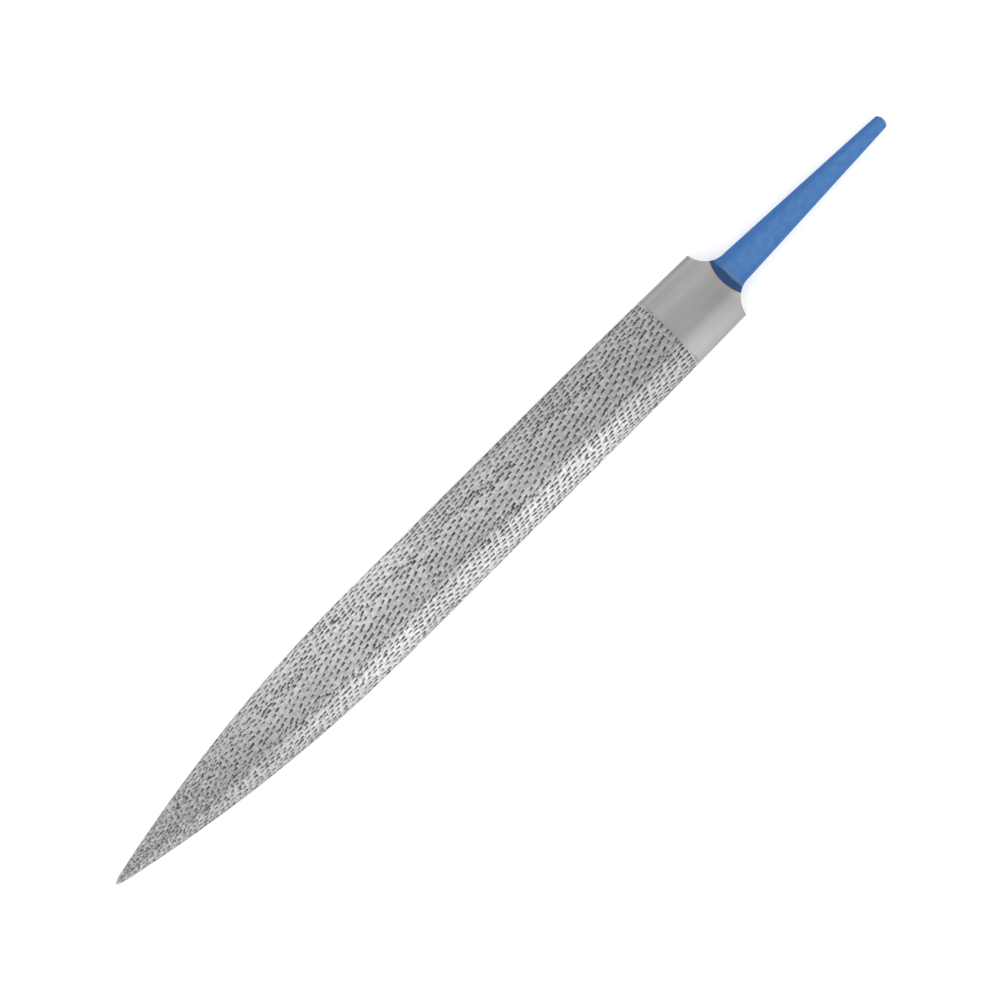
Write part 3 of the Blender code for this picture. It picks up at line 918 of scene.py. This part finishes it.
# Lacquered tang: the bar's end, forged out thin to go into a wooden handle, with softly rounded edges. It was
# dipped in blue lacquer up to the top of the ramp, where painted shade darkens the lacquer.
TANG_LENGTH = 69 * MM
TANG_END_WIDTH = 4.3 * MM
TANG_ROOT_TOP = 5.1 * MM
TANG_END_TOP = 3.9 * MM
TANG_ROOT_UNDER = 0.5 * MM
TANG_END_UNDER = 1.4 * MM
TANG_END_CORNER = 1.3 * MM
UNDER_STEP_LENGTH = 1.6 * MM
RAMP_SOFTNESS = 0.2 * MM
FORGED_EDGE = 0.75 * MM
SEAM_EDGE = 0.03 * MM
EDGE_GROWTH = 0.25
SEAM_BOW_LENGTH = 8 * MM
TANG_STEPS = 150
EVEN_STEP_SHARE = 0.55
TANG_COLUMNS = 30
EDGE_FACETS = 5

TANG_END = BLADE_LENGTH + TANG_LENGTH
RAMP_FOOT = RAMP_TOP + BLADE_THICKNESS - TANG_ROOT_TOP
TANG_SIDE_ANGLE = math.atan((TANG_ROOT_WIDTH - TANG_END_WIDTH) / 2 / (TANG_END - SCOOP_CENTRE))
TAPER_START = SCOOP_CENTRE + SCOOP_RADIUS * math.sin(TANG_SIDE_ANGLE)
TAPER_START_SIDE = SCOOP_SIDE - SCOOP_RADIUS * math.cos(TANG_SIDE_ANGLE)


def tang_half_width(x):
    if x < TAPER_START:
        return SCOOP_SIDE - math.sqrt(SCOOP_RADIUS**2 - (x - SCOOP_CENTRE) ** 2)
    along = (x - TAPER_START) / (TANG_END - TAPER_START)
    side = TAPER_START_SIDE + (TANG_END_WIDTH / 2 - TAPER_START_SIDE) * along
    into_corner = max(0, x - TANG_END + TANG_END_CORNER)
    return side - TANG_END_CORNER + math.sqrt(max(0, TANG_END_CORNER**2 - into_corner**2))


def tang_top(x):
    slope = BLADE_THICKNESS - (x - RAMP_TOP)
    flat = TANG_ROOT_TOP + (TANG_END_TOP - TANG_ROOT_TOP) * (x - RAMP_FOOT) / (TANG_END - RAMP_FOOT)
    return (slope + flat) / 2 + math.hypot((slope - flat) / 2, RAMP_SOFTNESS)


def tang_under(x):
    step_end = RAMP_FOOT + UNDER_STEP_LENGTH
    further = max(0, x - step_end) / (TANG_END - step_end)
    step = TANG_ROOT_UNDER * softened(rise(x, RAMP_FOOT, UNDER_STEP_LENGTH))
    return step + (TANG_END_UNDER - TANG_ROOT_UNDER) * further


# Where painted shade darkens the lacquer on the ramp, a painted highlight lightens it at the ramp's foot, and
# painted shade deepens its blue over the edges, the sides of the top and all the underside. Shares across the
# top are from its middle to an edge.
RAMP_SHADE_END = RAMP_FOOT - 0.05 * MM
RAMP_SHADE_SLANT = 0.05
RAMP_SHADE_RIPPLE = 0.12 * MM
RAMP_SHADE_RIPPLE_WAVE = 0.9 * MM
RAMP_SHADE_FADE = 0.6 * MM
FOOT_HIGHLIGHT_MIDDLE = 0.36 * MM
FOOT_HIGHLIGHT_REACH = 1.2 * MM
# Painted shade deepens the blue over the rounded edges, on the sides of the top, and all over the underside.
EDGE_SHADING = 0.9
FAR_TOP_SHADE = 0.75
FAR_SIDE_SHARES = (0.3, 0.35)
NEAR_TOP_SHADE = 0.5
NEAR_SIDE_SHARES = (-0.6, -0.3)


def lacquer_shading(x, side, wide, over_edge, on_top):
    """Painted shade on the ramp, painted highlight at its foot, and painted deep-blue shade, at a place."""
    shade_end = RAMP_SHADE_END - RAMP_SHADE_SLANT * side + RAMP_SHADE_RIPPLE * math.sin(side / RAMP_SHADE_RIPPLE_WAVE)
    ramp_shade = rise(x, shade_end + RAMP_SHADE_FADE / 2, -RAMP_SHADE_FADE)
    foot_highlight = peak(x, RAMP_FOOT + FOOT_HIGHLIGHT_MIDDLE, FOOT_HIGHLIGHT_REACH)
    deep = 1
    if on_top:
        deep = max(
            min(1, EDGE_SHADING * over_edge),
            FAR_TOP_SHADE * rise(side / wide, *FAR_SIDE_SHARES),
            NEAR_TOP_SHADE * rise(side / wide, *NEAR_SIDE_SHARES),
        )
    return ramp_shade, foot_highlight, deep


seam_start = ramp_start(0)
seam_end = ramp_start(seam_reach)
quarter_turn = [math.pi / 2 * turn / EDGE_FACETS for turn in range(1, EDGE_FACETS + 1)]
body = bmesh.new()
lacquer_layer = body.verts.layers.float_vector.new("lacquer")
sections = []
for step in range(TANG_STEPS + 1):
    share_along = step / TANG_STEPS
    stretched = share_along * EVEN_STEP_SHARE + (1 - EVEN_STEP_SHARE) * share_along**2
    along = seam_start + (TANG_END - seam_start) * stretched
    seam_fade = peak(along, seam_start, SEAM_BOW_LENGTH) ** 2
    wide = tang_half_width(along + (seam_end - seam_start) * seam_fade)
    edge = min(FORGED_EDGE, SEAM_EDGE + (along - seam_start) * EDGE_GROWTH)
    end_drop = edge - math.sqrt(max(0, edge**2 - max(0, along - TANG_END + edge) ** 2))
    flat_part = wide - edge
    outline = [(flat_part * share, 0) for share in even_shares(TANG_COLUMNS)]
    outline += [(flat_part + edge * math.sin(turn), edge * (1 - math.cos(turn))) for turn in quarter_turn]
    outline = [(-side, drop) for side, drop in reversed(outline[TANG_COLUMNS + 1:])] + outline
    ring = []
    for on_top in (True, False):
        for side, drop in outline if on_top else reversed(outline):
            share = min(1, abs(side) / wide)
            x = along + (ramp_start(share * seam_reach) - seam_start) * seam_fade
            z = tang_top(x) - drop - end_drop if on_top else tang_under(x) + drop + end_drop
            ring.append(body.verts.new(in_place(x, side, z)))
            ring[-1][lacquer_layer] = lacquer_shading(x, side, wide, drop / edge, on_top)
    sections.append(ring)
skin(body, sections)
root = sections[0]
for here in range(len(root) // 2 - 1):
    body.faces.new((root[here], root[here + 1], root[-here - 2], root[-here - 1]))
body.faces.new(sections[-1])

BLUES = ((0.058, 0.207, 0.533), (0.092, 0.263, 0.622))
FOOT_HIGHLIGHT_BLUE = (0.135, 0.275, 0.51)
SHADED_EDGE_BLUE = (0.035, 0.16, 0.48)
RAMP_SHADE_BLUES = ((0.012, 0.066, 0.215), (0.022, 0.085, 0.25))
LACQUER_RIPPLE_DEPTH = 0.03 * MM


def blue_lacquer():
    material, tree, shader = shader_material("blue_lacquer")
    ramp_shade, foot_highlight, deep = marks_on(tree, "lacquer")
    cloud = noise(tree, 620, 3, ALONG_BAR)
    blue = ramp(tree, cloud, (0.3, BLUES[0]), (0.7, BLUES[1]))
    # Painted highlight at the foot of the ramp: a lighter, greyer blue.
    blue = mix_colour(tree, foot_highlight, blue, FOOT_HIGHLIGHT_BLUE)
    # Painted shade: a deeper blue over the edges, the sides of the top and the underside.
    blue = mix_colour(tree, deep, blue, SHADED_EDGE_BLUE)
    # Painted shade on the ramp: a much darker blue.
    ramp_shade_blue = ramp(tree, cloud, (0.3, RAMP_SHADE_BLUES[0]), (0.7, RAMP_SHADE_BLUES[1]))
    wire(tree, mix_colour(tree, ramp_shade, blue, ramp_shade_blue), shader.inputs["Base Color"])
    wire(tree, ramp(tree, cloud, (0.3, 0.42), (0.7, 0.52)), shader.inputs["Roughness"])
    wire(tree, bump(tree, cloud, LACQUER_RIPPLE_DEPTH).outputs["Normal"], shader.inputs["Normal"])
    return material


tang = new_piece("lacquered_tang", body, blue_lacquer())
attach(tang, "root")
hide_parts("tang")


# Floor: a large sheet of white paper that takes the rasp's soft shadow. It glows a little in the picture, so
# that it is white there without more light on the steel, and less in the steel's reflections.
FLOOR_SIZE = 6000 * MM
PAPER_WHITE = (0.9, 0.9, 0.9, 1)
PAPER_ROUGHNESS = 0.9
GLOW_IN_VIEW = 0.46
GLOW_IN_STEEL = 0.22

paper, tree, shader = shader_material("paper")
shader.inputs["Base Color"].default_value = PAPER_WHITE
shader.inputs["Roughness"].default_value = PAPER_ROUGHNESS
shader.inputs["Specular IOR Level"].default_value = 0
light_path = tree.nodes.new("ShaderNodeLightPath")
in_steel = tree.nodes.new("ShaderNodeMath")
in_steel.operation = "MULTIPLY"
in_steel.inputs[1].default_value = GLOW_IN_STEEL
wire(tree, light_path.outputs["Is Glossy Ray"], in_steel.inputs[0])
in_view = tree.nodes.new("ShaderNodeMath")
in_view.operation = "MULTIPLY_ADD"
in_view.inputs[1].default_value = GLOW_IN_VIEW
wire(tree, light_path.outputs["Is Camera Ray"], in_view.inputs[0])
wire(tree, in_steel.outputs[0], in_view.inputs[2])
glow = tree.nodes.new("ShaderNodeEmission")
wire(tree, in_view.outputs[0], glow.inputs["Strength"])
glowing_paper = tree.nodes.new("ShaderNodeAddShader")
wire(tree, shader.outputs[0], glowing_paper.inputs[0])
wire(tree, glow.outputs[0], glowing_paper.inputs[1])
wire(tree, glowing_paper.outputs[0], tree.nodes["Material Output"].inputs["Surface"])

half = FLOOR_SIZE / 2
floor_corners = [(-half, -half, 0), (half, -half, 0), (half, half, 0), (-half, half, 0)]
floor_mesh = bpy.data.meshes.new("floor")
floor_mesh.from_pydata(floor_corners, [], [(0, 1, 2, 3)])
floor_mesh.materials.append(paper)
floor = bpy.data.objects.new("floor", floor_mesh)
bpy.context.scene.collection.objects.link(floor)


# Light: an even white room, and three softboxes turned to the rasp. The near one is strong and stands low, so
# that the near flank of the round back is the lightest, as in the photograph. Each softbox has its place and
# its size in metres, and its power in watts.
ROOM_LIGHT = 0.66
ROOM_IN_VIEW = 1
SOFTBOXES = (
    ("near_softbox", (-0.2, -1.2, 0.42), (2.2, 1.3), 4.9),
    ("far_softbox", (-0.2, 1.0, 0.7), (2.2, 0.9), 1.6),
    ("end_softbox", (-1.3, 0, 0.9), (1.6, 1.2), 5.4),
)

world = bpy.data.worlds.new("studio")
world.use_nodes = True
tree = world.node_tree
room = tree.nodes["Background"]
room.inputs["Color"].default_value = (1, 1, 1, 1)
light_path = tree.nodes.new("ShaderNodeLightPath")
strength = tree.nodes.new("ShaderNodeMapRange")
strength.inputs["To Min"].default_value = ROOM_LIGHT
strength.inputs["To Max"].default_value = ROOM_IN_VIEW
wire(tree, light_path.outputs["Is Camera Ray"], strength.inputs["Value"])
wire(tree, strength.outputs["Result"], room.inputs["Strength"])
bpy.context.scene.world = world

for name, place, size, power in SOFTBOXES:
    lamp = bpy.data.objects.new(name, bpy.data.lights.new(name, "AREA"))
    lamp.data.shape = "RECTANGLE"
    lamp.data.size, lamp.data.size_y = size
    lamp.data.energy = power
    lamp.location = place
    lamp.rotation_euler = (-Vector(place)).to_track_quat("-Z", "Y").to_euler()
    bpy.context.scene.collection.objects.link(lamp)
